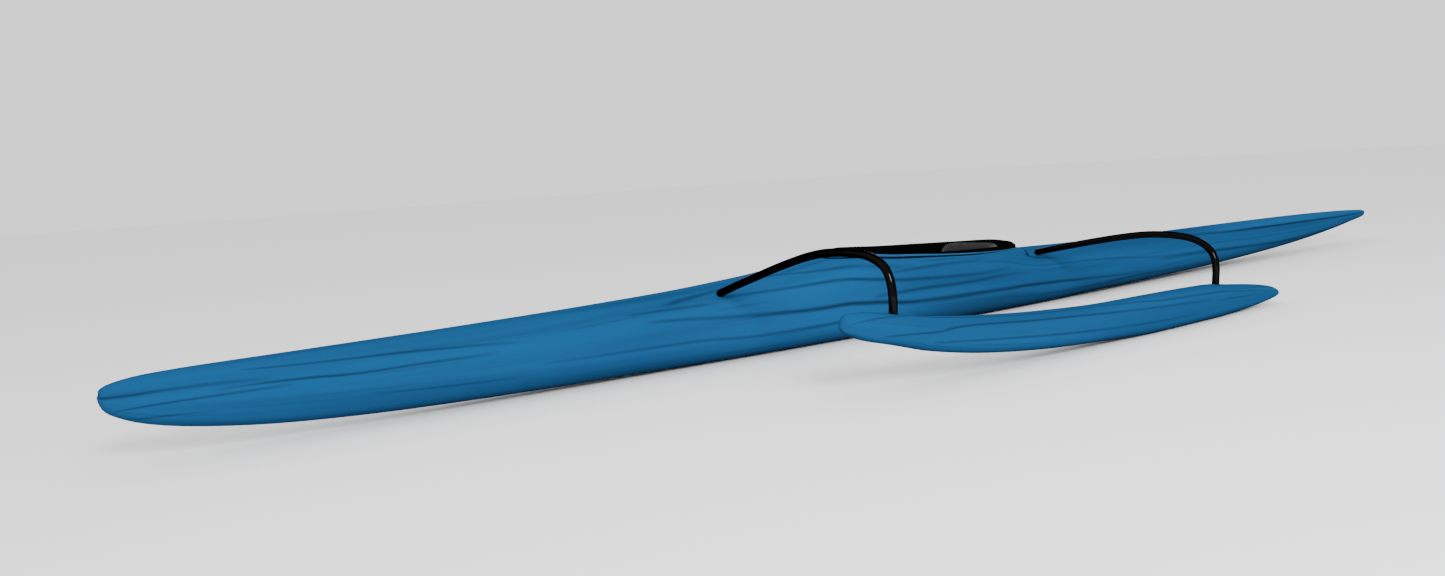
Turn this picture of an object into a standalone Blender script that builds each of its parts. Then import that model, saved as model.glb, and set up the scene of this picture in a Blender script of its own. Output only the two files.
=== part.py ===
# Single-seat outrigger canoe: decked hull, open cockpit, two bent arms and one float on the port side
import math

import bmesh
import bpy
import numpy as np
from mathutils import Vector

# Driving dimensions, metres
LENGTH = 7.30
FLOAT_DISTANCE = 0.970
TUBE_RADIUS = 0.0140
WALL = 0.010
GAP = 0.0003
FLOOR_Z = 0.030

# Stations, measured aft from the stem
BOW_JOINT = 1.60
MID_FRONT = 2.36
FLOOR_FRONT = 2.872
FLOOR_REAR = 3.282
MID_REAR = 3.845
STERN_JOINT = 5.30
TAIL_JOINT = 6.30
SIDE_FRONT = 2.70
SIDE_REAR = 3.64
OPENING_FRONT = 2.60
OPENING_REAR = 3.742
OPENING_HALF_WIDTH = 0.158
OPENING_ROUNDNESS = 0.86
OPENING_SIDES = 52
ARM_FRONT_S = 1.992
ARM_REAR_S = 3.805

# Slope behind the cockpit: its foot is a crease that bends forward toward the sides of the deck
STEP_FOOT = 3.815
STEP_BEND = 5.5
STEP_WIDTH = 0.060
STEP_SPREAD = 5.0
CREASE_END = 0.115
CREASE_FADE = 0.045

# Upright edge inside the opening
RIM_WALL = 0.004
RIM_SKIRT = 0.018

# Feet of the arms in the float
FOOT_DEPTH = 0.055

# Foot brace
RAIL_HEIGHT = 0.010
BRACE_S = 2.52
BRACE_HEIGHT = 0.120
BRACE_LEAN = 0.030

# Resting attitude on a floor: keel and float both touch it
LEAN_DEG = 3.8871
SIDE_SHIFT = -0.43526
LIFT = 0.001955

# Hull rows: station, keel height, height of the widest line, half beam, keel power
HULL = [
    (0.000, 0.202, 0.209, 0.004, 2.0),
    (0.004, 0.188, 0.208, 0.012, 2.0),
    (0.012, 0.169, 0.208, 0.021, 2.0),
    (0.045, 0.142, 0.205, 0.031, 2.0),
    (0.120, 0.110, 0.197, 0.042, 2.0),
    (0.260, 0.078, 0.185, 0.056, 2.0),
    (0.500, 0.046, 0.173, 0.075, 2.1),
    (0.870, 0.023, 0.161, 0.102, 2.2),
    (1.360, 0.010, 0.149, 0.132, 2.3),
    (1.850, 0.005, 0.141, 0.156, 2.4),
    (2.120, 0.003, 0.138, 0.168, 2.5),
    (2.400, 0.000, 0.136, 0.179, 2.5),
    (2.700, 0.000, 0.133, 0.188, 2.6),
    (3.100, 0.000, 0.129, 0.194, 2.6),
    (3.500, 0.000, 0.121, 0.191, 2.6),
    (3.800, 0.000, 0.114, 0.184, 2.6),
    (4.180, 0.006, 0.107, 0.174, 2.5),
    (4.700, 0.010, 0.102, 0.156, 2.4),
    (5.240, 0.017, 0.101, 0.132, 2.3),
    (5.870, 0.035, 0.107, 0.099, 2.2),
    (6.340, 0.057, 0.118, 0.071, 2.1),
    (6.840, 0.096, 0.136, 0.040, 2.0),
    (7.110, 0.126, 0.153, 0.022, 2.0),
    (7.270, 0.147, 0.163, 0.012, 2.0),
    (7.290, 0.154, 0.165, 0.008, 2.0),
    (7.300, 0.162, 0.166, 0.003, 2.0),
]

# Deck rows ahead of the step and around the cockpit: station, crown height, power
DECK_FRONT = [
    (0.000, 0.216, 2.0),
    (0.004, 0.222, 2.0),
    (0.012, 0.228, 2.0),
    (0.045, 0.239, 2.0),
    (0.120, 0.249, 2.1),
    (0.260, 0.253, 2.1),
    (0.500, 0.254, 2.1),
    (0.870, 0.256, 2.1),
    (1.360, 0.261, 2.3),
    (1.850, 0.269, 2.9),
    (2.120, 0.281, 3.1),
    (2.300, 0.292, 3.3),
    (2.450, 0.308, 3.5),
    (2.600, 0.327, 4.0),
    (2.730, 0.331, 4.5),
    (2.830, 0.327, 4.7),
    (3.035, 0.322, 5.0),
    (3.230, 0.310, 5.0),
    (3.435, 0.294, 5.0),
    (3.560, 0.284, 5.0),
    (3.700, 0.273, 4.6),
    (3.785, 0.266, 4.2),
    (3.900, 0.260, 4.0),
]

# Deck rows behind the step
DECK_REAR = [
    (3.400, 0.258, 2.4),
    (3.800, 0.253, 2.4),
    (4.180, 0.244, 2.3),
    (4.700, 0.234, 2.2),
    (5.240, 0.231, 2.2),
    (5.870, 0.226, 2.1),
    (6.340, 0.220, 2.1),
    (6.840, 0.208, 2.0),
    (7.110, 0.197, 2.0),
    (7.270, 0.185, 2.0),
    (7.290, 0.180, 2.0),
    (7.300, 0.170, 2.0),
]

# Top of the upright edge inside the opening: station, height
RIM_TOP = [
    (2.600, 0.341),
    (2.780, 0.340),
    (2.880, 0.333),
    (3.045, 0.321),
    (3.250, 0.311),
    (3.460, 0.303),
    (3.600, 0.300),
    (3.680, 0.300),
    (3.742, 0.295),
]

# Float rows: station, bottom height, top height, half width, power
FLOAT = [
    (1.763, 0.288, 0.292, 0.003, 2.0),
    (1.767, 0.279, 0.303, 0.012, 2.0),
    (1.776, 0.272, 0.317, 0.022, 2.0),
    (1.800, 0.262, 0.328, 0.034, 2.0),
    (1.842, 0.246, 0.327, 0.043, 2.1),
    (1.972, 0.213, 0.308, 0.056, 2.2),
    (2.147, 0.168, 0.277, 0.065, 2.3),
    (2.427, 0.123, 0.245, 0.073, 2.4),
    (2.747, 0.092, 0.221, 0.077, 2.4),
    (3.087, 0.074, 0.206, 0.078, 2.4),
    (3.330, 0.064, 0.204, 0.078, 2.4),
    (3.750, 0.064, 0.198, 0.071, 2.3),
    (3.907, 0.067, 0.182, 0.062, 2.2),
    (4.067, 0.073, 0.165, 0.049, 2.1),
    (4.227, 0.084, 0.140, 0.029, 2.0),
    (4.282, 0.092, 0.122, 0.016, 2.0),
    (4.294, 0.097, 0.115, 0.010, 2.0),
    (4.300, 0.103, 0.109, 0.003, 2.0),
]

# Arm centrelines: distance to port, height
ARM_FRONT = [
    (0.111, 0.266),
    (0.172, 0.291),
    (0.258, 0.325),
    (0.342, 0.357),
    (0.423, 0.388),
    (0.500, 0.415),
    (0.574, 0.439),
    (0.645, 0.457),
    (0.701, 0.466),
    (0.753, 0.471),
    (0.804, 0.473),
    (0.862, 0.470),
    (0.916, 0.453),
    (0.946, 0.427),
    (0.961, 0.392),
    (0.968, 0.355),
    (0.970, 0.315),
]
ARM_REAR = [
    (0.108, 0.246),
    (0.200, 0.269),
    (0.285, 0.290),
    (0.362, 0.309),
    (0.437, 0.326),
    (0.510, 0.342),
    (0.582, 0.356),
    (0.651, 0.367),
    (0.720, 0.373),
    (0.787, 0.374),
    (0.848, 0.369),
    (0.900, 0.355),
    (0.938, 0.331),
    (0.958, 0.303),
    (0.967, 0.273),
    (0.970, 0.243),
    (0.970, 0.205),
]

# Seat rows: station, pan height, bolster height, half width
SEAT = [
    (3.290, 0.104, 0.112, 0.100),
    (3.310, 0.112, 0.124, 0.118),
    (3.360, 0.114, 0.150, 0.134),
    (3.405, 0.110, 0.200, 0.140),
    (3.430, 0.107, 0.262, 0.138),
    (3.455, 0.105, 0.290, 0.135),
    (3.500, 0.104, 0.296, 0.129),
    (3.560, 0.106, 0.293, 0.117),
    (3.610, 0.118, 0.290, 0.103),
    (3.645, 0.160, 0.288, 0.091),
    (3.680, 0.228, 0.286, 0.076),
    (3.708, 0.264, 0.282, 0.058),
]

COLOURS = {
    "hull_bow": (0.016, 0.190, 0.455, 1.0),
    "hull_mid_front": (0.016, 0.190, 0.455, 1.0),
    "hull_mid_centre": (0.016, 0.190, 0.455, 1.0),
    "hull_mid_rear": (0.016, 0.190, 0.455, 1.0),
    "hull_quarter": (0.016, 0.190, 0.455, 1.0),
    "hull_stern": (0.016, 0.190, 0.455, 1.0),
    "hull_tail": (0.016, 0.190, 0.455, 1.0),
    "deck_bow": (0.016, 0.185, 0.440, 1.0),
    "deck_front": (0.016, 0.185, 0.440, 1.0),
    "deck_fore": (0.016, 0.185, 0.440, 1.0),
    "deck_port": (0.016, 0.185, 0.440, 1.0),
    "deck_starboard": (0.016, 0.185, 0.440, 1.0),
    "deck_aft": (0.016, 0.185, 0.440, 1.0),
    "deck_stern": (0.016, 0.185, 0.440, 1.0),
    "rim_fore": (0.012, 0.012, 0.013, 1.0),
    "rim_port": (0.012, 0.012, 0.013, 1.0),
    "rim_starboard": (0.012, 0.012, 0.013, 1.0),
    "rim_aft": (0.012, 0.012, 0.013, 1.0),
    "seat": (0.030, 0.030, 0.032, 1.0),
    "seat_pad": (0.045, 0.045, 0.048, 1.0),
    "foot_brace": (0.060, 0.060, 0.064, 1.0),
    "brace_rail_port": (0.420, 0.430, 0.440, 1.0),
    "brace_rail_starboard": (0.420, 0.430, 0.440, 1.0),
    "arm_front": (0.010, 0.010, 0.011, 1.0),
    "arm_rear": (0.010, 0.010, 0.011, 1.0),
    "float_body": (0.016, 0.195, 0.465, 1.0),
}


def clear_scene():
    for item in list(bpy.data.objects):
        bpy.data.objects.remove(item, do_unlink=True)
    for item in list(bpy.data.collections):
        bpy.data.collections.remove(item)


def paint(body, roughness, metallic=0.0):
    material = bpy.data.materials.new(body.name)
    material.use_nodes = True
    shader = material.node_tree.nodes["Principled BSDF"]
    shader.inputs["Base Color"].default_value = COLOURS[body.name]
    shader.inputs["Roughness"].default_value = roughness
    shader.inputs["Metallic"].default_value = metallic
    material.diffuse_color = COLOURS[body.name]
    body.data.materials.append(material)


def curve_value(rows, column, s):
    """Shape-preserving cubic through the rows of a table."""
    xs = np.array([row[0] for row in rows])
    ys = np.array([row[column] for row in rows])
    step = np.diff(xs)
    slope = np.diff(ys) / step
    tangent = np.zeros(len(xs))
    tangent[0] = slope[0]
    tangent[-1] = slope[-1]
    for i in range(1, len(xs) - 1):
        if slope[i - 1] * slope[i] > 0.0:
            w1 = 2.0 * step[i] + step[i - 1]
            w2 = step[i] + 2.0 * step[i - 1]
            tangent[i] = (w1 + w2) / (w1 / slope[i - 1] + w2 / slope[i])
    s = min(max(s, xs[0]), xs[-1])
    i = min(int(np.searchsorted(xs, s, side="right")) - 1, len(xs) - 2)
    t = (s - xs[i]) / step[i]
    h00 = 2.0 * t**3 - 3.0 * t**2 + 1.0
    h10 = t**3 - 2.0 * t**2 + t
    h01 = -2.0 * t**3 + 3.0 * t**2
    h11 = t**3 - t**2
    return float(h00 * ys[i] + h10 * step[i] * tangent[i] + h01 * ys[i + 1] + h11 * step[i] * tangent[i + 1])


def forward(s):
    return LENGTH / 2.0 - s


def arc_points(half_width, height, power, count):
    """Quarter of a superellipse from its foot (0, 1) to its side (1, 0)."""
    points = []
    for i in range(count + 1):
        angle = math.pi / 2.0 * i / count
        y = half_width * math.sin(angle) ** (2.0 / power)
        z = height * math.cos(angle) ** (2.0 / power)
        points.append((y, z))
    return points


def lower_half(s, inset, count):
    """From the keel to the widest line on the port side."""
    keel, wide, beam, power = [curve_value(HULL, column, s) for column in range(1, 5)]
    quarter = arc_points(beam - inset, wide - keel - inset, power, count)
    return [(y, wide - z) for y, z in quarter]


def step_weight(s, y):
    """0 on the cockpit's fairing, 1 on the rear deck; the foot is a crease that fades out toward the sides."""
    foot = STEP_FOOT - STEP_BEND * y * y
    width = STEP_WIDTH + STEP_SPREAD * y * y
    t = min(max((s - foot) / width + 1.0, 0.0), 1.0)
    smooth = min(max((abs(y) - CREASE_END) / CREASE_FADE + 1.0, 0.0), 1.0)
    return (1.0 - smooth) * t * t + smooth * t * t * (3.0 - 2.0 * t)


def dome(u, power):
    return max(0.0, 1.0 - u**power) ** (1.0 / power)


def deck_height(s, y, inset=0.0):
    """Height of the deck at a distance from the middle."""
    wide = curve_value(HULL, 2, s)
    beam = curve_value(HULL, 3, s) - inset
    u = min(abs(y) / beam, 1.0)
    weight = step_weight(s, y)
    height = 0.0
    if weight < 1.0:
        crown = curve_value(DECK_FRONT, 1, s) - wide - inset
        height += (1.0 - weight) * crown * dome(u, curve_value(DECK_FRONT, 2, s))
    if weight > 0.0:
        crown = curve_value(DECK_REAR, 1, s) - wide - inset
        height += weight * crown * dome(u, curve_value(DECK_REAR, 2, s))
    return wide + height


def upper_half(s, inset, count):
    """From the widest line up to the crown on the port side."""
    beam = curve_value(HULL, 3, s) - inset
    weight = step_weight(s, 0.6 * beam)
    front_power = curve_value(DECK_FRONT, 2, s)
    rear_power = curve_value(DECK_REAR, 2, s)
    power = (1.0 - weight) * front_power + weight * rear_power
    if s < DECK_REAR[0][0]:
        power = front_power
    if s > DECK_FRONT[-1][0]:
        power = rear_power
    points = []
    for i in range(count + 1):
        angle = math.pi / 2.0 * (1.0 - i / count)
        y = beam * math.sin(angle) ** (2.0 / power)
        points.append((y, deck_height(s, y, inset)))
    points[0] = (beam, curve_value(HULL, 2, s) + GAP)
    points[-1] = (0.0, deck_height(s, 0.0, inset))
    return points


def stations(first, last, extra):
    """Rows of the table plus further stations between two ends, at least 4 mm apart."""
    values = sorted({row[0] for row in HULL if first < row[0] < last} | {v for v in extra if first < v < last})
    kept = [first]
    for value in values:
        if value - kept[-1] > 0.0035 and last - value > 0.0035:
            kept.append(value)
    kept.append(last)
    return kept


def even(first, last, step):
    count = int(round((last - first) / step))
    return [round(first + (last - first) * i / count, 4) for i in range(count + 1)]


def add_body(name, mesh, collection):
    body = bpy.data.objects.new(name, mesh)
    collection.objects.link(body)
    return body


def half_loft(name, outlines, collection, shell=False):
    """Port half through open outlines that run bottom, side, top; a mirror across the keel plane closes it."""
    count = len(outlines[0][1])
    vertices = []
    for s, outline in outlines:
        vertices += [(forward(s), y, z) for y, z in outline]
    faces = []
    for i in range(len(outlines) - 1):
        for j in range(count - 1):
            a = i * count + j
            faces.append((a, a + count, a + count + 1, a + 1))
    last = (len(outlines) - 1) * count
    if shell:
        for j in range(count // 2 - 1):
            ring = (j, j + 1, count - 2 - j, count - 1 - j)
            faces.append(ring)
            faces.append(tuple(last + k for k in reversed(ring)))
    else:
        faces.append(tuple(range(count)))
        faces.append(tuple(range(last + count - 1, last - 1, -1)))
    mesh = bpy.data.meshes.new(name)
    mesh.from_pydata(vertices, [], faces)
    body = add_body(name, mesh, collection)
    mirror = body.modifiers.new("mirror", "MIRROR")
    mirror.use_axis = (False, True, False)
    mirror.merge_threshold = 0.00002
    return body


def shade(body, angle=0.7):
    for face in body.data.polygons:
        face.use_smooth = True
    body.data.set_sharp_from_angle(angle=angle)


def cut(body, cutter):
    modifier = body.modifiers.new("cut", "BOOLEAN")
    modifier.operation = "DIFFERENCE"
    modifier.solver = "EXACT"
    modifier.object = cutter


def as_cutter(body):
    body.hide_render = True
    body.display_type = "WIRE"
    return body


def hull_solid(name, first, last, extra, collection):
    outlines = []
    for s in stations(first, last, extra):
        lower = lower_half(s, 0.0, 9)
        outlines.append((s, lower + [(0.0, lower[-1][1])]))
    body = half_loft(name, outlines, collection)
    paint(body, 0.38)
    shade(body)
    return body


def hull_trough(name, first, last, collection):
    """Trough of even thickness with a flat floor."""
    outlines = []
    for s in stations(first, last, even(2.45, 3.80, 0.15)):
        outer = lower_half(s, 0.0, 9)
        inner = lower_half(s, WALL, 9)
        inner = [(y, max(z, FLOOR_Z)) for y, z in inner]
        outlines.append((s, outer + inner[::-1]))
    body = half_loft(name, outlines, collection, shell=True)
    paint(body, 0.38)
    shade(body)


def deck_solid(name, first, last, extra, collection):
    outlines = []
    for s in stations(first, last, extra):
        upper = upper_half(s, 0.0, 9)
        outlines.append((s, [(0.0, upper[0][1])] + upper))
    body = half_loft(name, outlines, collection)
    paint(body, 0.38)
    return body


def deck_roof(name, first, last, cutters, collection):
    """Roof of even thickness, cut by the cockpit opening and what else meets it."""
    extra = even(2.45, 3.45, 0.10) + even(3.48, 3.63, 0.025) + even(3.652, 3.832, 0.009)
    outlines = []
    for s in stations(first, last, extra):
        outer = upper_half(s, 0.0, 12)
        inner = upper_half(s, WALL, 12)
        outlines.append((s, inner[::-1] + outer))
    body = half_loft(name, outlines, collection, shell=True)
    paint(body, 0.38)
    for cutter in cutters:
        cut(body, cutter)
    shade(body)


def opening_point(angle, offset):
    """Egg-shaped outline of the cockpit; angle 0 points aft."""
    middle = (OPENING_FRONT + OPENING_REAR) / 2.0
    half = (OPENING_REAR - OPENING_FRONT) / 2.0 + offset
    width = OPENING_HALF_WIDTH + offset
    c = math.cos(angle)
    d = math.sin(angle)
    s = middle + half * math.copysign(abs(c) ** OPENING_ROUNDNESS, c)
    y = width * math.copysign(abs(d) ** OPENING_ROUNDNESS, d)
    return s, y


def opening_circle(work, offset):
    """Circle primitive bent to the cockpit's outline."""
    ring = bmesh.ops.create_circle(work, cap_ends=False, radius=1.0, segments=OPENING_SIDES)["verts"]
    for vertex in ring:
        angle = math.atan2(vertex.co.y, -vertex.co.x)
        s, y = opening_point(angle, offset)
        vertex.co = Vector((forward(s), y, 0.0))
    return ring


def cutter_opening(cutters):
    work = bmesh.new()
    opening_circle(work, 0.0)
    bottom = bmesh.ops.contextual_create(work, geom=work.edges)["faces"]
    lifted = bmesh.ops.extrude_face_region(work, geom=bottom)["geom"]
    for vertex in work.verts:
        vertex.co.z = 0.20
    for item in lifted:
        if isinstance(item, bmesh.types.BMVert):
            item.co.z = 0.50
    bmesh.ops.recalc_face_normals(work, faces=work.faces)
    mesh = bpy.data.meshes.new("cut_opening")
    work.to_mesh(mesh)
    work.free()
    return as_cutter(add_body("cut_opening", mesh, cutters))


def rim_strip(name, planes, collection):
    """Stretch of the thin upright edge in the opening, with its skirt below the deck."""
    work = bmesh.new()
    low = opening_circle(work, -GAP)
    edges = list(work.edges)
    lifted = bmesh.ops.extrude_edge_only(work, edges=edges)["geom"]
    high = [item for item in lifted if isinstance(item, bmesh.types.BMVert)]
    for vertex in low:
        s = LENGTH / 2.0 - vertex.co.x
        vertex.co.z = deck_height(s, vertex.co.y) - RIM_SKIRT
    for vertex in high:
        s = LENGTH / 2.0 - vertex.co.x
        vertex.co.z = curve_value(RIM_TOP, 1, s)
    bmesh.ops.recalc_face_normals(work, faces=work.faces)
    for place, normal in planes:
        everything = work.verts[:] + work.edges[:] + work.faces[:]
        bmesh.ops.bisect_plane(work, geom=everything, plane_co=place, plane_no=normal, clear_outer=True)
    mesh = bpy.data.meshes.new(name)
    work.to_mesh(mesh)
    work.free()
    body = add_body(name, mesh, collection)
    paint(body, 0.30)
    solid = body.modifiers.new("thickness", "SOLIDIFY")
    solid.thickness = RIM_WALL
    solid.offset = -1.0
    solid.use_even_offset = True
    shade(body)


def cockpit_rim(collection):
    """Four stretches that meet where the deck's panels meet."""
    ahead = (1.0, 0.0, 0.0)
    behind = (-1.0, 0.0, 0.0)
    front = (forward(SIDE_FRONT), 0.0, 0.0)
    rear = (forward(SIDE_REAR), 0.0, 0.0)
    rim_strip("rim_fore", [((front[0] + GAP, 0.0, 0.0), behind)], collection)
    rim_strip("rim_port", [(front, ahead), (rear, behind), ((0.0, 0.0, 0.0), (0.0, -1.0, 0.0))], collection)
    rim_strip("rim_starboard", [(front, ahead), (rear, behind), ((0.0, 0.0, 0.0), (0.0, 1.0, 0.0))], collection)
    rim_strip("rim_aft", [((rear[0] - GAP, 0.0, 0.0), ahead)], collection)


def smooth_path(points, steps):
    """Catmull-Rom path through the control points, straight over the first and the last span."""
    array = [np.array(point, dtype=float) for point in points]
    path = [array[0]]
    for i in range(1, len(array) - 2):
        p0, p1, p2, p3 = array[i - 1:i + 3]
        for k in range(steps):
            t = k / steps
            a = 2.0 * p1
            b = p2 - p0
            c = 2.0 * p0 - 5.0 * p1 + 4.0 * p2 - p3
            d = 3.0 * p1 - p0 - 3.0 * p2 + p3
            path.append(0.5 * (a + b * t + c * t * t + d * t**3))
    path.append(array[-2])
    path.append(array[-1])
    return path


def arm(name, table, s, collection):
    """Bent tube in its own upright plane, with its foot inside the float."""
    foot = (table[-1][0], table[-1][1] - FOOT_DEPTH)
    path = smooth_path(table + [foot], 3)
    curve = bpy.data.curves.new(name, "CURVE")
    curve.dimensions = "3D"
    curve.bevel_depth = TUBE_RADIUS
    curve.bevel_resolution = 4
    curve.use_fill_caps = True
    spline = curve.splines.new("POLY")
    spline.points.add(len(path) - 1)
    for point, place in zip(spline.points, path):
        point.co = (0.0, place[0], place[1], 1.0)
    body = add_body(name, curve, collection)
    body.location = (forward(s), 0.0, 0.0)
    paint(body, 0.28)


def rod_cutter(name, start, end, cutters):
    """Cylinder with a little clearance around a straight stretch of tube."""
    start = Vector(start)
    end = Vector(end)
    axis = end - start
    work = bmesh.new()
    bmesh.ops.create_cone(work, cap_ends=True, segments=16, radius1=TUBE_RADIUS + GAP, radius2=TUBE_RADIUS + GAP,
                          depth=axis.length)
    mesh = bpy.data.meshes.new(name)
    work.to_mesh(mesh)
    work.free()
    body = as_cutter(add_body(name, mesh, cutters))
    body.location = (start + end) / 2.0
    body.rotation_euler = axis.to_track_quat("Z", "Y").to_euler()
    return body


def seat_cutter(name, table, s, cutters):
    """Recess in the deck under the inboard end of an arm."""
    x = forward(s)
    first = Vector((x, table[0][0], table[0][1]))
    second = Vector((x, table[1][0], table[1][1]))
    along = (second - first).normalized()
    return rod_cutter(name, first - along * GAP, second, cutters)


def foot_cutter(name, table, s, cutters):
    x = forward(s)
    y, z = table[-1]
    return rod_cutter(name, (x, y, z - FOOT_DEPTH - GAP), (x, y, z + 0.05), cutters)


def side_cutter(name, side, cutters):
    """Box over one half of the deck beside the cockpit."""
    work = bmesh.new()
    bmesh.ops.create_cube(work, size=1.0)
    bmesh.ops.scale(work, vec=Vector((2.0, 0.30, 0.40)), verts=work.verts)
    mesh = bpy.data.meshes.new(name)
    work.to_mesh(mesh)
    work.free()
    body = as_cutter(add_body(name, mesh, cutters))
    body.location = (forward(3.2), side * 0.15, 0.25)
    return body


def float_body(collection, cutters):
    values = sorted({row[0] for row in FLOAT} | set(even(1.90, 4.18, 0.12)))
    kept = [values[0]]
    for value in values[1:]:
        if value - kept[-1] > 0.003:
            kept.append(value)
    outlines = []
    for s in kept:
        bottom, top, half, power = [curve_value(FLOAT, column, s) for column in range(1, 5)]
        middle = (bottom + top) / 2.0
        quarter = arc_points(half, (top - bottom) / 2.0, power, 7)
        outline = [(y, middle - z) for y, z in quarter]
        outline += [(y, middle + z) for y, z in reversed(quarter[:-1])]
        outlines.append((s, outline))
    body = half_loft("float_body", outlines, collection)
    body.location = (0.0, FLOAT_DISTANCE, 0.0)
    paint(body, 0.36)
    cut(body, cutters["foot_front"])
    cut(body, cutters["foot_rear"])
    shade(body)


def seat(collection):
    """Bucket with bolsters at the sides that run into its back."""
    low = FLOOR_Z + GAP
    outlines = []
    for s, pan, top, half in SEAT:
        rise = top - pan
        inner = half - 0.020
        outline = [
            (0.0, low),
            (half * 0.60, low),
            (half * 0.88, low + 0.026),
            (half, low + 0.070),
            (half, top - rise * 0.12),
            (half - 0.005, top),
            (half - 0.013, top),
            (inner, top - rise * 0.12),
            (inner - 0.004, pan + rise * 0.32),
            (inner - 0.030, pan + rise * 0.05),
            (inner * 0.45, pan),
            (0.0, pan),
        ]
        outlines.append((s, outline))
    body = half_loft("seat", outlines, collection)
    paint(body, 0.45)
    shade(body)


def block(name, low, high, collection, bevel):
    """Box between two corners given as station, side and height, with rounded edges."""
    work = bmesh.new()
    bmesh.ops.create_cube(work, size=1.0)
    size = Vector((high[0] - low[0], high[1] - low[1], high[2] - low[2]))
    bmesh.ops.scale(work, vec=size, verts=work.verts)
    mesh = bpy.data.meshes.new(name)
    work.to_mesh(mesh)
    work.free()
    body = add_body(name, mesh, collection)
    body.location = (forward((low[0] + high[0]) / 2.0), (low[1] + high[1]) / 2.0, (low[2] + high[2]) / 2.0)
    modifier = body.modifiers.new("bevel", "BEVEL")
    modifier.width = bevel
    modifier.segments = 2
    return body


def foot_brace(collection):
    low = FLOOR_Z + GAP
    for name, side in (("brace_rail_port", 0.070), ("brace_rail_starboard", -0.070)):
        rail = block(name, (2.42, side - 0.010, low), (2.86, side + 0.010, low + RAIL_HEIGHT), collection, 0.001)
        paint(rail, 0.35, 0.9)
    base = low + RAIL_HEIGHT + GAP
    plate = block("foot_brace", (BRACE_S, -0.105, base), (BRACE_S + 0.020, 0.105, base + BRACE_HEIGHT), collection,
                  0.003)
    for vertex in plate.data.vertices:
        if vertex.co.z > 0.0:
            vertex.co.x += BRACE_LEAN
    paint(plate, 0.5)


def seat_pad(collection):
    """Thin cushion on the flat middle of the pan."""
    low = max(curve_value(SEAT, 1, s) for s in (3.46, 3.50, 3.545)) + GAP
    pad = block("seat_pad", (3.46, -0.045, low), (3.545, 0.045, low + 0.012), collection, 0.004)
    paint(pad, 0.9)


def place_whole(collection, cutters):
    """Resting attitude, with the middle of the whole outline over the origin."""
    root = bpy.data.objects.new("canoe_frame", None)
    collection.objects.link(root)
    root.location = (0.0, SIDE_SHIFT, LIFT)
    root.rotation_euler = (-math.radians(LEAN_DEG), 0.0, 0.0)
    for group in (collection, cutters):
        for body in group.objects:
            if body is not root:
                body.parent = root


def build():
    clear_scene()
    scene = bpy.context.scene
    collection = bpy.data.collections.new("outrigger_canoe")
    scene.collection.children.link(collection)
    cutters = bpy.data.collections.new("cutters")
    scene.collection.children.link(cutters)
    parts = {
        "opening": cutter_opening(cutters),
        "port": side_cutter("cut_port", 1.0, cutters),
        "starboard": side_cutter("cut_starboard", -1.0, cutters),
        "seat_front": seat_cutter("cut_seat_front", ARM_FRONT, ARM_FRONT_S, cutters),
        "seat_rear": seat_cutter("cut_seat_rear", ARM_REAR, ARM_REAR_S, cutters),
        "foot_front": foot_cutter("cut_foot_front", ARM_FRONT, ARM_FRONT_S, cutters),
        "foot_rear": foot_cutter("cut_foot_rear", ARM_REAR, ARM_REAR_S, cutters),
    }
    front_extra = even(0.30, 2.30, 0.20) + [0.002, 0.008, 0.025, 0.08, 0.18]
    rear_extra = even(4.0, 7.0, 0.25) + [7.19, 7.24, 7.28, 7.295]
    hull_solid("hull_bow", 0.0, MID_FRONT, front_extra, collection)
    hull_trough("hull_mid_front", MID_FRONT + GAP, FLOOR_FRONT - GAP, collection)
    hull_trough("hull_mid_centre", FLOOR_FRONT, FLOOR_REAR, collection)
    hull_trough("hull_mid_rear", FLOOR_REAR + GAP, MID_REAR - GAP, collection)
    hull_solid("hull_quarter", MID_REAR, STERN_JOINT - GAP, rear_extra, collection)
    hull_solid("hull_stern", STERN_JOINT, TAIL_JOINT - GAP, rear_extra, collection)
    hull_solid("hull_tail", TAIL_JOINT, LENGTH, rear_extra, collection)
    bow = deck_solid("deck_bow", 0.0, BOW_JOINT - GAP, front_extra, collection)
    shade(bow)
    front = deck_solid("deck_front", BOW_JOINT, MID_FRONT, front_extra, collection)
    cut(front, parts["seat_front"])
    shade(front)
    deck_roof("deck_fore", MID_FRONT + GAP, SIDE_FRONT - GAP, [parts["opening"]], collection)
    deck_roof("deck_port", SIDE_FRONT, SIDE_REAR, [parts["opening"], parts["starboard"]], collection)
    deck_roof("deck_starboard", SIDE_FRONT, SIDE_REAR, [parts["opening"], parts["port"]], collection)
    deck_roof("deck_aft", SIDE_REAR + GAP, MID_REAR - GAP, [parts["opening"], parts["seat_rear"]], collection)
    stern = deck_solid("deck_stern", MID_REAR, LENGTH, rear_extra, collection)
    shade(stern)
    cockpit_rim(collection)
    seat(collection)
    seat_pad(collection)
    foot_brace(collection)
    arm("arm_front", ARM_FRONT, ARM_FRONT_S, collection)
    arm("arm_rear", ARM_REAR, ARM_REAR_S, collection)
    float_body(collection, parts)
    place_whole(collection, cutters)


build()
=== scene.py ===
import math

import bmesh
import bpy
import numpy as np
from mathutils import Matrix, Vector


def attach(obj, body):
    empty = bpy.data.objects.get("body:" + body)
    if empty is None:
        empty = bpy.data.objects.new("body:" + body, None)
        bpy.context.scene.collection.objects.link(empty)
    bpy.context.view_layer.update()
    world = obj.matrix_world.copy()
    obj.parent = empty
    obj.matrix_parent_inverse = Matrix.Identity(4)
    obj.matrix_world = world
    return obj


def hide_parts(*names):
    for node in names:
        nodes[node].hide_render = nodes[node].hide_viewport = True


# Camera found from the photograph, in the canoe's resting frame
CAMERA_PLACE = (4.12298, 2.98169, 0.70449)
CAMERA_AZIMUTH = 37.00659
CAMERA_PITCH = 5.91227
CAMERA_ROLL = 3.57063
CAMERA_FAR = 100.0
FOCAL_PIXELS = 1150.0
PHOTO_WIDTH = 1445
SENSOR_WIDTH = 36.0

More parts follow.
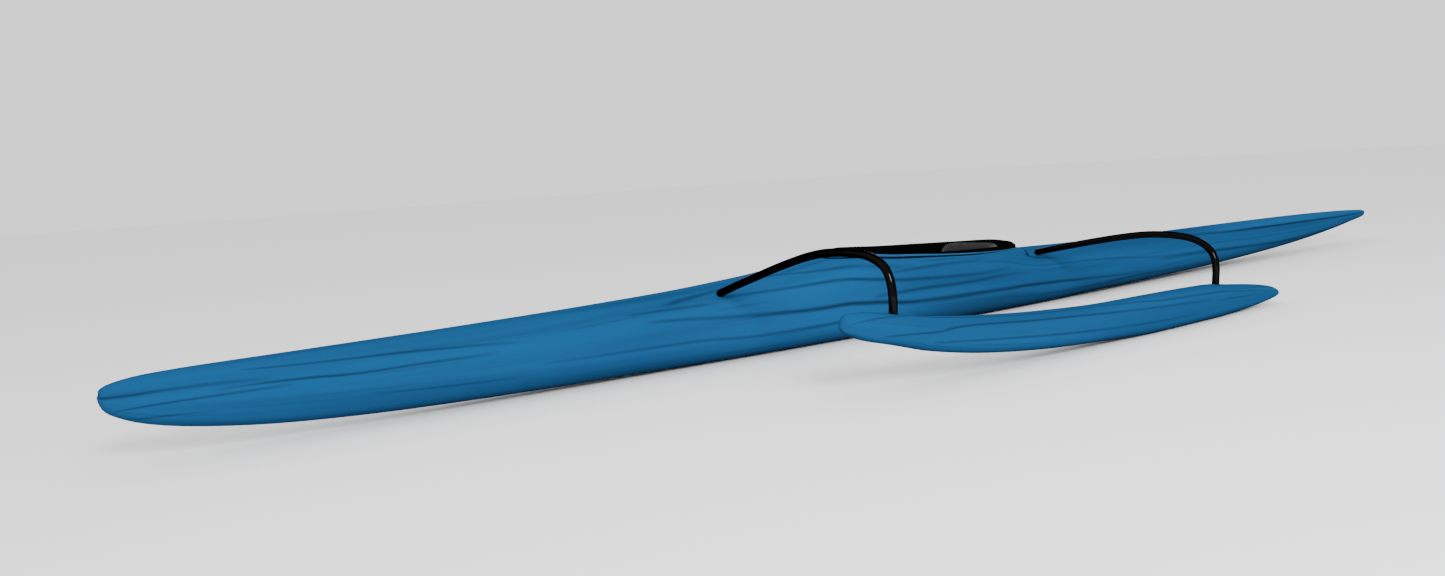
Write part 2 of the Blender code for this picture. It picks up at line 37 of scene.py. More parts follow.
# Light and floor
KEY_PLACE = (4.2, 6.8, 3.8)
KEY_TARGET = (0.0, 0.0, 0.2)
KEY_SIZE = 2.4
KEY_POWER = 880.0
WORLD_STRENGTH = 1.3
GROUND_SIZE = 80.0
GROUND_Z = -0.0005
GROUND_COLOUR = (0.93, 0.93, 0.93)
GROUND_ROUGHNESS = 0.9

# Resting attitude and main sizes, as in the part's source
LEAN_DEG = 3.8871
SIDE_SHIFT = -0.43526
LIFT = 0.001955
LENGTH = 7.30
FLOAT_DISTANCE = 0.970
WALL = 0.010
FLOOR_Z = 0.030
CAVITY_FRONT = 2.365
CAVITY_REAR = 3.840
OPENING_FRONT = 2.60
OPENING_REAR = 3.742
OPENING_HALF_WIDTH = 0.158
OPENING_ROUNDNESS = 0.86

# Slope behind the cockpit, as in the part's source; the power of the deck's section is taken there
# at a share of the half beam
STEP_FOOT = 3.815
STEP_BEND = 5.5
STEP_WIDTH = 0.060
STEP_SPREAD = 5.0
CREASE_END = 0.115
CREASE_FADE = 0.045
POWER_SHARE = 0.6

# Stations of the hull's rings: single ones at the ends, and runs as first, last, distance
STEM_STATIONS = (0.0, 0.001, 0.0025, 0.004, 0.007, 0.012, 0.02, 0.03, 0.045, 0.065, 0.09, 0.12, 0.16, 0.21)
STERN_STATIONS = (7.22, 7.24, 7.26, 7.27, 7.28, 7.287, 7.293, 7.297, 7.3)
HULL_RUNS = (
    (0.26, 2.30, 0.06),
    (2.34, 3.38, 0.03),
    (3.40, 3.66, 0.012),
    (3.67, 3.83, 0.004),
    (3.84, 3.90, 0.012),
    (3.93, 6.84, 0.06),
    (6.90, 7.20, 0.05),
)

# Rings at the float's ends, as distances from its nose and from its tail, and the run between them
FLOAT_NOSE_STEPS = (0.0, 0.001, 0.0025, 0.005, 0.009, 0.015, 0.023, 0.033, 0.045, 0.06, 0.08)
FLOAT_TAIL_STEPS = (0.12, 0.09, 0.06, 0.04, 0.025, 0.015, 0.008, 0.004, 0.0015, 0.0)
FLOAT_RUN_AFTER_NOSE = 0.11
FLOAT_RUN_BEFORE_TAIL = 0.16
FLOAT_SPACING = 0.035

# Spacing of the rings of cavity and seat
CAVITY_SPACING = 0.03
SEAT_SPACING = 0.009

# Sides of a quarter of each ring
HULL_LOWER_SIDES = 16
HULL_UPPER_SIDES = 20
CAVITY_SIDES = 14
FLOAT_SIDES = 16

# Cutter for the cockpit's opening
MOUTH_LOW = 0.20
MOUTH_HIGH = 0.50
MOUTH_SIDES = 160

# Notch in the stem, between hull and deck
NOTCH_S = -0.0030
NOTCH_Z = 0.2125
NOTCH_RADIUS = 0.0108
NOTCH_LENGTH = 0.10
NOTCH_SIDES = 64

# How far the noses of hull, deck and float stand behind those of the solids, to meet the picture
NOSE_REACH = 0.050
NOSE_BACK_HULL = 0.003
NOSE_BACK_DECK = 0.004
NOSE_STEP = 0.010
NOSE_FULL = 0.0025
NOSE_FULL_DEPTH = 0.025
FLOAT_NOSE_REACH = 0.160
FLOAT_NOSE_BACK = 0.014

# Black upright edge of the cockpit
RIM_WALL = 0.004
RIM_SKIRT = 0.018
RIM_ROUND = 0.0015
RIM_CLEAR = 0.0002
RIM_SIDES = 200

# Dip of the edge at the port corner of its rear end, to meet the picture
DIP_START = 3.60
DIP_LENGTH = 0.10
DIP_WIDTH = 0.06
DIP_DEPTH = 0.013

# Blue lip around the opening, and dark tubes under it that paint the shadow in the gap between lip and deck
LIP_OUTSET = 0.8
LIP_SIDES = 180
LIP_ROUNDNESS = 3
LIP_SHADOW_ROUNDNESS = 2
LIP_SHADOW_RADIUS = 0.0024
LIP_SHADOW_THINNEST = 0.0002
LIP_SHADOW_FRONT = 2.55
LIP_SHADOW_REAR = 3.62
LIP_SHADOW_FRONT_FADE = 0.06
LIP_SHADOW_REAR_FADE = 0.30
LIP_SHADOW_OUTSET = 1.75
LIP_SHADOW_LIFT = 0.0006
LIP_SHADOW_FOLLOW = 0.8

# Section of the seat, from the middle of its foot around the bolster to the middle of the pan
# Foot: share of the half width, height over the floor
SEAT_FOOT = ((0.0, 0.0), (0.60, 0.0), (0.88, 0.026), (1.0, 0.070))
# Top of the bolster: distance inward from its outer face, height over the row's bolster height
SEAT_TOP = ((0.004, -0.001), (0.009, 0.0005), (0.014, -0.001))
# Inside: distance inward from its inner face, share of the bolster's rise over the pan
SEAT_HOLLOW = ((0.004, 0.32), (0.014, 0.13), (0.034, 0.04))
SEAT_WALL = 0.020
SEAT_TURN = 0.12
SEAT_FLAT = 0.45
SEAT_WELD = 0.00002

# Foam pad
PAD_MIDDLE = 3.5025
PAD_STATIONS = (3.46, 3.50, 3.545)
PAD_CLEAR = 0.0003
PAD_HALF_LENGTH = 0.0425
PAD_HALF_WIDTH = 0.045
PAD_EDGE = 0.0045
PAD_CROWN = 0.0072
PAD_PULL = 0.035
PAD_BEVEL = 0.0015
PAD_SIDES = 14

# Linear colours
BLUE_LIGHT = (0.0112, 0.0640, 0.1660)
BLUE_MID = (0.0092, 0.0510, 0.1330)
# Dark blue of the grain streaks, also used for the painted shade on the foot
BLUE_STREAK_AND_SHADE = (0.0055, 0.0205, 0.0480)
# Lighter blue for the painted light on the stern's crown and ahead of the cockpit
BLUE_PAINTED_LIGHT = (0.0160, 0.0860, 0.2200)
BLUE_SHADE = (0.0030, 0.0110, 0.0250)
BLACK = (0.0012, 0.0012, 0.0013)
GREY_SEAT = (0.014, 0.014, 0.0145)
GREY_FOAM = (0.035, 0.035, 0.037)
GREY_METAL = (0.25, 0.25, 0.26)
TUBE_DARK = (0.0055, 0.0055, 0.0055)
TUBE_LIGHT = (0.0085, 0.0085, 0.0085)

# Satin looks: colour, roughness, specular level
LIP_LOOK = (BLUE_MID, 0.35, 0.06)
INNER_LOOK = (BLACK, 0.6, 0.0)
EDGE_LOOK = (BLACK, 0.4, 0.0)
SEAT_LOOK = (GREY_SEAT, 0.38, 0.10)
FOAM_LOOK = (GREY_FOAM, 0.9, 0.2)
BRACE_LOOK = (GREY_SEAT, 0.5, 0.3)
RAIL_LOOK = (GREY_METAL, 0.4, 0.5)
TUBE_ROUGHNESS = 0.11
BLUE_ROUGHNESS = 0.55

# Wear of a satin surface: scale of its tone, then scale, strength and distance of its bump
SATIN_WEAR = (40.0, 900.0, 0.05, 0.0004)
TUBE_WEAR = (30.0, 500.0, 0.03, 0.0003)
SATIN_LIGHTER = 1.6

# Detail of the noises
TONE_DETAIL = 3.0
FINE_DETAIL = 2.0

# Noises of the grain: changes per metre along the hull, over half its girth, shift of the seed
WAVE_NOISE = (1.6, 2.5, 0.0)
THIN_NOISE = (1.1, 24.0, 3.0)
WIDE_NOISE = (0.5, 5.0, 7.0)
FIBRE_NOISE = (5.0, 90.0, 11.0)
NOISE_MIDDLE = 0.5
WAVE_OF_NOISES = 0.05
WAVE_OF_LINES = 0.02

# Seed of each grain and its scale around the girth
HULL_SEED = 1.0
HULL_ACROSS = 1.0
FLOAT_SEED = 5.0
FLOAT_ACROSS = 0.5

# Power that turns a share of the length into the place on the curves along it
SHARE_POWER = 0.5

# Ramps of the grain, of the painted shade on the foot and of the painted light on the stern's crown and ahead of the
# cockpit: low and high input, then output at each
TONE_RAMP = (0.36, 0.66, 0.0, 1.0)
BREAK_RAMP = (0.20, 0.55, 0.60, 1.0)
FINE_RAMP = (0.57, 0.76, 0.0, 0.36)
# Painted shade on the foot of hull and float
FOOT_SHADE_RAMP = (0.35, 1.0, 1.0, 0.0)
FOOT_DEEP_SHADE_RAMP = (0.25, 0.65, 0.8, 0.0)
# Painted light on the top of the stern's deck, then in a band around the hull ahead of the cockpit
CROWN_LIGHT_SHARE_RAMP = (0.68, 0.80, 0.0, 0.75)
CROWN_LIGHT_STATION_RAMP = (4.9, 5.7, 0.0, 1.0)
FORE_LIGHT_START_RAMP = (1.6, 2.3, 0.0, 0.40)
FORE_LIGHT_END_RAMP = (2.55, 3.05, 1.0, 0.0)

# Fibres of the grain, and the share of the length over which a main line starts or ends
FIBRE_STRENGTH = 0.10
FIBRE_BUMP = 0.04
FIBRE_DISTANCE = 0.0006
LINE_END = 0.004

# Shade along the foot of the slope behind the cockpit
SHADE_FOOT = 3.788
SHADE_BEND = 3.8
SHADE_START_RAMP = (-0.016, -0.002, 0.0, 1.0)
SHADE_END_RAMP = (0.002, 0.012, 1.0, 0.0)
SHADE_SIDE_RAMP = (0.100, 0.128, 1.0, 0.0)
SHADE_HEIGHT_RAMP = (0.150, 0.190, 0.0, 1.0)
SHADE_STRENGTH = 0.95

# Smoothing: angles above which an edge stays sharp, in radians, and how near points of a node are joined
SHARP_SKIN = 0.6
SHARP_EDGE = 0.9
SHARP_PAD = 1.0
SHARP_SEAT = 1.2
NODE_WELD = 0.00001

# Colour sockets of the mix node
MIX_FIRST = 6
MIX_SECOND = 7
MIX_RESULT = 2

# Blue lip around the opening: station, radius, height of its middle over the deck
LIP = [
    (2.600, 0.0058, 0.0075),
    (2.760, 0.0058, 0.0085),
    (2.900, 0.0050, 0.0085),
    (3.100, 0.0038, 0.0045),
    (3.300, 0.0033, 0.0035),
    (3.430, 0.0024, 0.0022),
    (3.550, 0.0015, 0.0010),
    (3.742, 0.0010, 0.0006),
]

# Main grain lines of the hull, two of which are painted shade (beside the front arm, and along the crease behind the
# cockpit): half width, then points as station, share of the girth from keel to crown, strength
HULL_GRAIN = [
    (0.085, (
        (0.000, 0.470, 1.0), (0.006, 0.520, 1.0), (0.014, 0.555, 1.0), (0.030, 0.583, 0.9),
        (0.060, 0.605, 0.6), (0.100, 0.625, 0.3), (0.150, 0.650, 0.0),
    )),
    (0.040, (
        (0.000, 0.470, 0.9), (0.012, 0.550, 1.0), (0.030, 0.583, 1.0), (0.070, 0.610, 1.0),
        (0.160, 0.652, 0.6), (0.270, 0.668, 0.5), (0.440, 0.660, 0.0),
    )),
    (0.030, (
        (0.030, 0.157, 0.2), (0.050, 0.290, 0.6), (0.080, 0.370, 0.7), (0.160, 0.468, 0.7),
        (0.270, 0.523, 0.7), (0.500, 0.575, 0.0),
    )),
    (0.030, (
        (0.060, 0.100, 0.1), (0.110, 0.200, 0.7), (0.180, 0.285, 0.5), (0.320, 0.340, 0.0),
    )),
    (0.024, (
        (0.280, 0.590, 0.0), (0.380, 0.617, 0.7), (0.520, 0.620, 1.0), (0.660, 0.600, 0.8),
        (0.870, 0.605, 0.7), (1.100, 0.600, 0.0),
    )),
    (0.022, (
        (0.350, 0.790, 0.0), (0.550, 0.760, 0.7), (0.770, 0.735, 0.7), (0.930, 0.711, 0.7),
        (1.200, 0.665, 0.0),
    )),
    (0.022, (
        (0.700, 0.390, 0.0), (0.940, 0.370, 0.5), (1.200, 0.375, 0.0),
    )),
    (0.022, (
        (1.250, 0.460, 0.0), (1.600, 0.455, 0.5), (1.870, 0.445, 0.5), (2.100, 0.415, 0.5),
        (2.350, 0.403, 0.5), (2.600, 0.390, 0.0),
    )),
    (0.026, (
        (1.650, 0.650, 0.0), (1.820, 0.620, 0.6), (2.000, 0.585, 0.6), (2.200, 0.560, 0.0),
    )),
    (0.024, (
        (1.580, 0.740, 0.0), (1.750, 0.722, 0.6), (1.950, 0.705, 0.0),
    )),
    # Painted shade in the hollow beside the front arm
    (0.050, (
        (1.750, 0.760, 0.0), (1.840, 0.805, 0.7), (1.920, 0.830, 0.7), (2.020, 0.860, 0.6),
        (2.120, 0.900, 0.0),
    )),
    (0.022, (
        (1.980, 0.748, 0.0), (2.220, 0.720, 0.7), (2.450, 0.690, 0.8), (2.740, 0.617, 0.8),
        (2.950, 0.585, 0.7), (3.240, 0.577, 0.6), (3.500, 0.600, 0.0),
    )),
    (0.034, (
        (2.150, 1.000, 0.2), (2.320, 0.900, 0.5), (2.450, 0.805, 0.6), (2.670, 0.727, 0.5),
        (2.950, 0.660, 0.0),
    )),
    (0.022, (
        (2.680, 0.505, 0.0), (2.820, 0.517, 0.6), (3.010, 0.521, 0.7), (3.190, 0.523, 0.7),
        (3.440, 0.550, 0.5), (3.700, 0.580, 0.0),
    )),
    (0.026, (
        (2.050, 0.570, 0.0), (2.220, 0.548, 0.8), (2.370, 0.525, 0.9), (2.540, 0.506, 1.0),
        (2.700, 0.476, 1.0), (3.010, 0.436, 0.9), (3.390, 0.443, 0.8), (3.510, 0.450, 0.9),
        (3.660, 0.475, 1.0), (3.840, 0.486, 1.0), (4.040, 0.467, 0.9), (4.350, 0.440, 0.6),
        (4.800, 0.420, 0.0),
    )),
    (0.020, (
        (2.800, 0.654, 0.0), (2.900, 0.657, 0.6), (3.100, 0.664, 0.5), (3.350, 0.680, 0.0),
    )),
    # Painted shade along the side part of the crease behind the cockpit
    (0.024, (
        (3.710, 0.800, 0.0), (3.730, 0.775, 0.9), (3.750, 0.752, 1.0), (3.780, 0.735, 0.9),
        (3.820, 0.725, 0.6), (3.920, 0.720, 0.0),
    )),
    (0.020, (
        (3.350, 0.660, 0.0), (3.600, 0.652, 0.35), (4.000, 0.640, 0.4), (4.240, 0.629, 0.5),
        (4.600, 0.580, 0.4), (5.100, 0.510, 0.0),
    )),
    (0.028, (
        (2.950, 0.380, 0.0), (3.330, 0.386, 0.2), (3.700, 0.387, 0.3), (3.960, 0.379, 0.3),
        (4.220, 0.369, 0.5), (4.510, 0.395, 0.7), (4.800, 0.380, 0.6), (5.300, 0.330, 0.0),
    )),
    (0.042, (
        (4.850, 0.800, 0.0), (5.220, 0.776, 0.6), (5.520, 0.747, 0.8), (5.850, 0.731, 1.0),
        (6.220, 0.711, 1.0), (6.620, 0.686, 1.0), (6.950, 0.640, 0.9), (7.200, 0.580, 0.5),
        (7.290, 0.500, 0.0),
    )),
    (0.044, (
        (4.750, 0.540, 0.0), (5.130, 0.516, 0.7), (5.460, 0.478, 0.8), (5.810, 0.428, 0.8),
        (6.200, 0.352, 0.8), (6.600, 0.300, 0.6), (7.000, 0.280, 0.0),
    )),
    (0.020, (
        (4.950, 0.620, 0.0), (5.380, 0.600, 0.4), (5.820, 0.560, 0.4), (6.340, 0.500, 0.4),
        (6.800, 0.440, 0.0),
    )),
]

# Main grain lines of the float, in the same columns
FLOAT_GRAIN = [
    (0.040, (
        (1.770, 0.500, 0.2), (1.820, 0.630, 0.5), (1.900, 0.740, 0.6), (2.060, 0.930, 0.0),
    )),
    (0.034, (
        (1.910, 0.350, 0.0), (1.970, 0.435, 0.7), (2.120, 0.570, 0.8), (2.290, 0.694, 0.8),
        (2.590, 0.727, 0.8), (2.880, 0.721, 0.7), (3.200, 0.680, 0.6), (3.700, 0.590, 0.0),
    )),
    (0.034, (
        (2.100, 0.380, 0.0), (2.310, 0.459, 0.6), (2.750, 0.480, 0.6), (3.140, 0.457, 0.5),
        (3.600, 0.420, 0.0),
    )),
    (0.036, (
        (2.950, 0.920, 0.0), (3.200, 0.830, 0.6), (3.380, 0.760, 0.6), (3.800, 0.714, 0.6),
        (4.120, 0.680, 0.0),
    )),
    (0.036, (
        (1.840, 0.960, 0.0), (1.890, 0.948, 0.5), (1.970, 0.937, 0.8), (2.170, 0.925, 0.8),
        (2.360, 0.900, 0.6), (2.630, 0.890, 0.6), (3.000, 0.920, 0.0),
    )),
    (0.030, (
        (3.700, 0.580, 0.0), (3.900, 0.577, 0.5), (4.000, 0.575, 0.4), (4.240, 0.560, 0.0),
    )),
]

# Painted shade on the foot of hull and float, darker towards the keel: station, strength, share of the girth it
# reaches
HULL_FOOT_SHADE = [
    (0.00, 0.15, 0.30),
    (0.60, 0.30, 0.32),
    (1.50, 0.75, 0.36),
    (2.40, 0.75, 0.38),
    (3.60, 0.90, 0.52),
    (4.60, 1.00, 0.50),
    (5.80, 1.00, 0.46),
    (7.30, 0.90, 0.44),
]
FLOAT_FOOT_SHADE = [
    (1.763, 0.40, 0.30),
    (2.10, 0.70, 0.34),
    (2.80, 0.90, 0.40),
    (3.60, 0.95, 0.42),
    (4.30, 0.90, 0.40),
]

# Hull rows: station, keel height, height of the widest line, half beam, keel power
HULL = [
    (0.000, 0.202, 0.209, 0.004, 2.0),
    (0.004, 0.188, 0.208, 0.012, 2.0),
    (0.012, 0.169, 0.208, 0.021, 2.0),
    (0.045, 0.142, 0.205, 0.031, 2.0),
    (0.120, 0.110, 0.197, 0.042, 2.0),
    (0.260, 0.078, 0.185, 0.056, 2.0),
    (0.500, 0.046, 0.173, 0.075, 2.1),
    (0.870, 0.023, 0.161, 0.102, 2.2),
    (1.360, 0.010, 0.149, 0.132, 2.3),
    (1.850, 0.005, 0.141, 0.156, 2.4),
    (2.120, 0.003, 0.138, 0.168, 2.5),
    (2.400, 0.000, 0.136, 0.179, 2.5),
    (2.700, 0.000, 0.133, 0.188, 2.6),
    (3.100, 0.000, 0.129, 0.194, 2.6),
    (3.500, 0.000, 0.121, 0.191, 2.6),
    (3.800, 0.000, 0.114, 0.184, 2.6),
    (4.180, 0.006, 0.107, 0.174, 2.5),
    (4.700, 0.010, 0.102, 0.156, 2.4),
    (5.240, 0.017, 0.101, 0.132, 2.3),
    (5.870, 0.035, 0.107, 0.099, 2.2),
    (6.340, 0.057, 0.118, 0.071, 2.1),
    (6.840, 0.096, 0.136, 0.040, 2.0),
    (7.110, 0.126, 0.153, 0.022, 2.0),
    (7.270, 0.147, 0.163, 0.012, 2.0),
    (7.290, 0.154, 0.165, 0.008, 2.0),
    (7.300, 0.162, 0.166, 0.003, 2.0),
]

# Deck rows ahead of the step and around the cockpit: station, crown height, power
DECK_FRONT = [
    (0.000, 0.216, 2.0),
    (0.004, 0.222, 2.0),
    (0.012, 0.228, 2.0),
    (0.045, 0.239, 2.0),
    (0.120, 0.249, 2.1),
    (0.260, 0.253, 2.1),
    (0.500, 0.254, 2.1),
    (0.870, 0.256, 2.1),
    (1.360, 0.261, 2.3),
    (1.850, 0.269, 2.9),
    (2.120, 0.281, 3.1),
    (2.300, 0.292, 3.3),
    (2.450, 0.308, 3.5),
    (2.600, 0.327, 4.0),
    (2.730, 0.331, 4.5),
    (2.830, 0.327, 4.7),
    (3.035, 0.322, 5.0),
    (3.230, 0.310, 5.0),
    (3.435, 0.294, 5.0),
    (3.560, 0.284, 5.0),
    (3.700, 0.273, 4.6),
    (3.785, 0.266, 4.2),
    (3.900, 0.260, 4.0),
]

# Deck rows behind the step
DECK_REAR = [
    (3.400, 0.258, 2.4),
    (3.800, 0.253, 2.4),
    (4.180, 0.244, 2.3),
    (4.700, 0.234, 2.2),
    (5.240, 0.231, 2.2),
    (5.870, 0.226, 2.1),
    (6.340, 0.220, 2.1),
    (6.840, 0.208, 2.0),
    (7.110, 0.197, 2.0),
    (7.270, 0.185, 2.0),
    (7.290, 0.180, 2.0),
    (7.300, 0.170, 2.0),
]

# Top of the upright edge inside the opening: station, height
RIM_TOP = [
    (2.600, 0.341),
    (2.780, 0.340),
    (2.880, 0.333),
    (3.045, 0.321),
    (3.250, 0.311),
    (3.460, 0.303),
    (3.600, 0.300),
    (3.690, 0.3000),
    (3.724, 0.2980),
    (3.742, 0.294),
]

# Float rows: station, bottom height, top height, half width, power
FLOAT = [
    (1.763, 0.288, 0.292, 0.003, 2.0),
    (1.767, 0.279, 0.303, 0.012, 2.0),
    (1.776, 0.272, 0.317, 0.022, 2.0),
    (1.800, 0.262, 0.328, 0.034, 2.0),
    (1.842, 0.246, 0.327, 0.043, 2.1),
    (1.972, 0.213, 0.308, 0.056, 2.2),
    (2.147, 0.168, 0.277, 0.065, 2.3),
    (2.427, 0.123, 0.245, 0.073, 2.4),
    (2.747, 0.092, 0.221, 0.077, 2.4),
    (3.087, 0.074, 0.206, 0.078, 2.4),
    (3.330, 0.064, 0.204, 0.078, 2.4),
    (3.750, 0.064, 0.198, 0.071, 2.3),
    (3.907, 0.067, 0.182, 0.062, 2.2),
    (4.067, 0.073, 0.165, 0.049, 2.1),
    (4.227, 0.084, 0.140, 0.029, 2.0),
    (4.282, 0.092, 0.122, 0.016, 2.0),
    (4.294, 0.097, 0.115, 0.010, 2.0),
    (4.300, 0.103, 0.109, 0.003, 2.0),
]

# Rows of the seat: station, pan height, bolster height, half width
SEAT = [
    (3.290, 0.104, 0.112, 0.100),
    (3.310, 0.112, 0.124, 0.118),
    (3.360, 0.114, 0.150, 0.134),
    (3.405, 0.110, 0.200, 0.140),
    (3.430, 0.107, 0.262, 0.138),
    (3.455, 0.105, 0.290, 0.135),
    (3.500, 0.104, 0.296, 0.129),
    (3.560, 0.106, 0.293, 0.117),
    (3.610, 0.118, 0.290, 0.103),
    (3.645, 0.160, 0.288, 0.091),
    (3.680, 0.228, 0.286, 0.076),
    (3.708, 0.264, 0.282, 0.058),
]

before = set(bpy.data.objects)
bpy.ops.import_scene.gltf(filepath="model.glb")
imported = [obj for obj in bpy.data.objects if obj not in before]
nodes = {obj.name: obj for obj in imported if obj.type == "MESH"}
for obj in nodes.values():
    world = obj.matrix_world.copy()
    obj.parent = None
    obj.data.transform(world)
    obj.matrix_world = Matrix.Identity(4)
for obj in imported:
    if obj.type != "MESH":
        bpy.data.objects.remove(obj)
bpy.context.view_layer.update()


def limited(value):
    return min(max(value, 0.0), 1.0)


def smooth(t):
    return t * t * (3.0 - 2.0 * t)


def curve_value(rows, column, s):
    """Shape-preserving cubic through the rows of a table."""
    xs = np.array([row[0] for row in rows])
    ys = np.array([row[column] for row in rows])
    step = np.diff(xs)
    slope = np.diff(ys) / step
    tangent = np.zeros(len(xs))
    tangent[0] = slope[0]
    tangent[-1] = slope[-1]
    for i in range(1, len(xs) - 1):
        if slope[i - 1] * slope[i] > 0.0:
            w1 = 2.0 * step[i] + step[i - 1]
            w2 = step[i] + 2.0 * step[i - 1]
            tangent[i] = (w1 + w2) / (w1 / slope[i - 1] + w2 / slope[i])
    s = min(max(s, xs[0]), xs[-1])
    i = min(int(np.searchsorted(xs, s, side="right")) - 1, len(xs) - 2)
    t = (s - xs[i]) / step[i]
    h00 = 2.0 * t**3 - 3.0 * t**2 + 1.0
    h10 = t**3 - 2.0 * t**2 + t
    h01 = -2.0 * t**3 + 3.0 * t**2
    h11 = t**3 - t**2
    return float(h00 * ys[i] + h10 * step[i] * tangent[i] + h01 * ys[i + 1] + h11 * step[i] * tangent[i + 1])


def forward(s):
    """X of a station, which is counted from the stem."""
    return LENGTH / 2.0 - s


def hull_to_rest():
    """From the hull's upright frame to the leaning one it rests in."""
    turn = Matrix.Rotation(-math.radians(LEAN_DEG), 4, "X")
    return Matrix.Translation((0.0, SIDE_SHIFT, LIFT)) @ turn


def steps(first, last, size):
    """Evenly spaced stations from first to last, about size apart."""
    count = max(1, int(round((last - first) / size)))
    return [first + (last - first) * i / count for i in range(count + 1)]


def camera_matrix():
    azimuth = math.radians(CAMERA_AZIMUTH)
    pitch = math.radians(CAMERA_PITCH)
    roll = math.radians(CAMERA_ROLL)
    look = Vector((-math.sin(azimuth) * math.cos(pitch), -math.cos(azimuth) * math.cos(pitch), -math.sin(pitch)))
    side = Vector((-math.cos(azimuth), math.sin(azimuth), 0.0))
    lift = Vector((-math.sin(azimuth) * math.sin(pitch), -math.cos(azimuth) * math.sin(pitch), math.cos(pitch)))
    right = side * math.cos(roll) - lift * math.sin(roll)
    up = side * math.sin(roll) + lift * math.cos(roll)
    turn = Matrix((right, up, -look)).transposed().to_4x4()
    return Matrix.Translation(Vector(CAMERA_PLACE)) @ turn


def add_camera():
    data = bpy.data.cameras.new("photo_camera")
    data.sensor_width = SENSOR_WIDTH
    data.lens = FOCAL_PIXELS / PHOTO_WIDTH * SENSOR_WIDTH
    data.clip_end = CAMERA_FAR
    camera = bpy.data.objects.new("photo_camera", data)
    bpy.context.scene.collection.objects.link(camera)
    camera.matrix_world = camera_matrix()
    bpy.context.scene.camera = camera


class Nodes:
    """Shorthand for building a material's node tree."""

    def __init__(self, name):
        self.material = bpy.data.materials.new(name)
        self.material.use_nodes = True
        self.tree = self.material.node_tree
        self.shader = self.tree.nodes["Principled BSDF"]

    def node(self, kind, **settings):
        item = self.tree.nodes.new(kind)
        for key, value in settings.items():
            setattr(item, key, value)
        return item

    def feed(self, socket, value):
        """Link a socket, or set it to a number or a colour."""
        if isinstance(value, bpy.types.NodeSocket):
            self.tree.links.new(value, socket)
        elif isinstance(value, tuple) and len(value) == 3 and socket.type == "RGBA":
            socket.default_value = (*value, 1.0)
        else:
            socket.default_value = value

    def math(self, operation, first, second=0.0, clamp=False):
        item = self.node("ShaderNodeMath", operation=operation, use_clamp=clamp)
        self.feed(item.inputs[0], first)
        self.feed(item.inputs[1], second)
        return item.outputs[0]

    def split(self, value):
        item = self.node("ShaderNodeSeparateXYZ")
        self.feed(item.inputs[0], value)
        return item.outputs

    def join(self, x, y, z):
        item = self.node("ShaderNodeCombineXYZ")
        for socket, value in zip(item.inputs, (x, y, z)):
            self.feed(socket, value)
        return item.outputs[0]

    def noise(self, place, scale, detail):
        item = self.node("ShaderNodeTexNoise")
        self.feed(item.inputs["Vector"], place)
        item.inputs["Scale"].default_value = scale
        item.inputs["Detail"].default_value = detail
        return item.outputs["Fac"]

    def ramp(self, value, low, high, start, end):
        item = self.node("ShaderNodeMapRange", interpolation_type="SMOOTHSTEP")
        self.feed(item.inputs["Value"], value)
        item.inputs["From Min"].default_value = low
        item.inputs["From Max"].default_value = high
        item.inputs["To Min"].default_value = start
        item.inputs["To Max"].default_value = end
        return item.outputs["Result"]

    def curve(self, value, points):
        """Smooth curve through a few points, level beyond its ends."""
        item = self.node("ShaderNodeFloatCurve")
        self.feed(item.inputs["Value"], value)
        item.mapping.extend = "HORIZONTAL"
        line = item.mapping.curves[0]
        line.points[0].location = points[0]
        line.points[1].location = points[-1]
        for point in points[1:-1]:
            line.points.new(*point)
        item.mapping.update()
        return item.outputs[0]

    def mix(self, amount, first, second):
        item = self.node("ShaderNodeMix", data_type="RGBA")
        self.feed(item.inputs["Factor"], amount)
        self.feed(item.inputs[MIX_FIRST], first)
        self.feed(item.inputs[MIX_SECOND], second)
        return item.outputs[MIX_RESULT]

    def coordinates(self, kind):
        return self.node("ShaderNodeTexCoord").outputs[kind]

    def bump(self, height, strength, distance):
        item = self.node("ShaderNodeBump")
        item.inputs["Strength"].default_value = strength
        item.inputs["Distance"].default_value = distance
        self.feed(item.inputs["Height"], height)
        self.feed(self.shader.inputs["Normal"], item.outputs["Normal"])

    def finish(self, colour, roughness, specular, metallic=0.0):
        self.feed(self.shader.inputs["Base Color"], colour)
        self.shader.inputs["Roughness"].default_value = roughness
        self.shader.inputs["Specular IOR Level"].default_value = specular
        self.shader.inputs["Metallic"].default_value = metallic
        return self.material


def grain_lines(n, share, around, rows, reach):
    """Strength of the main grain lines at a place on the map."""
    total = 0.0
    for half_width, points in rows:
        track = [(reach(s), place) for s, place, _ in points]
        power = [(reach(s), strength) for s, _, strength in points]
        first = track[0][0]
        last = track[-1][0]
        gap = n.math("ABSOLUTE", n.math("SUBTRACT", around, n.curve(share, track)))
        edge = n.ramp(gap, 0.0, half_width, 1.0, 0.0)
        begun = n.ramp(share, first - LINE_END, first, 0.0, 1.0)
        not_over = n.ramp(share, last, last + LINE_END, 1.0, 0.0)
        fall = n.math("MULTIPLY", n.curve(share, power), n.math("MULTIPLY", begun, not_over))
        total = n.math("MAXIMUM", total, n.math("MULTIPLY", edge, fall))
    return total


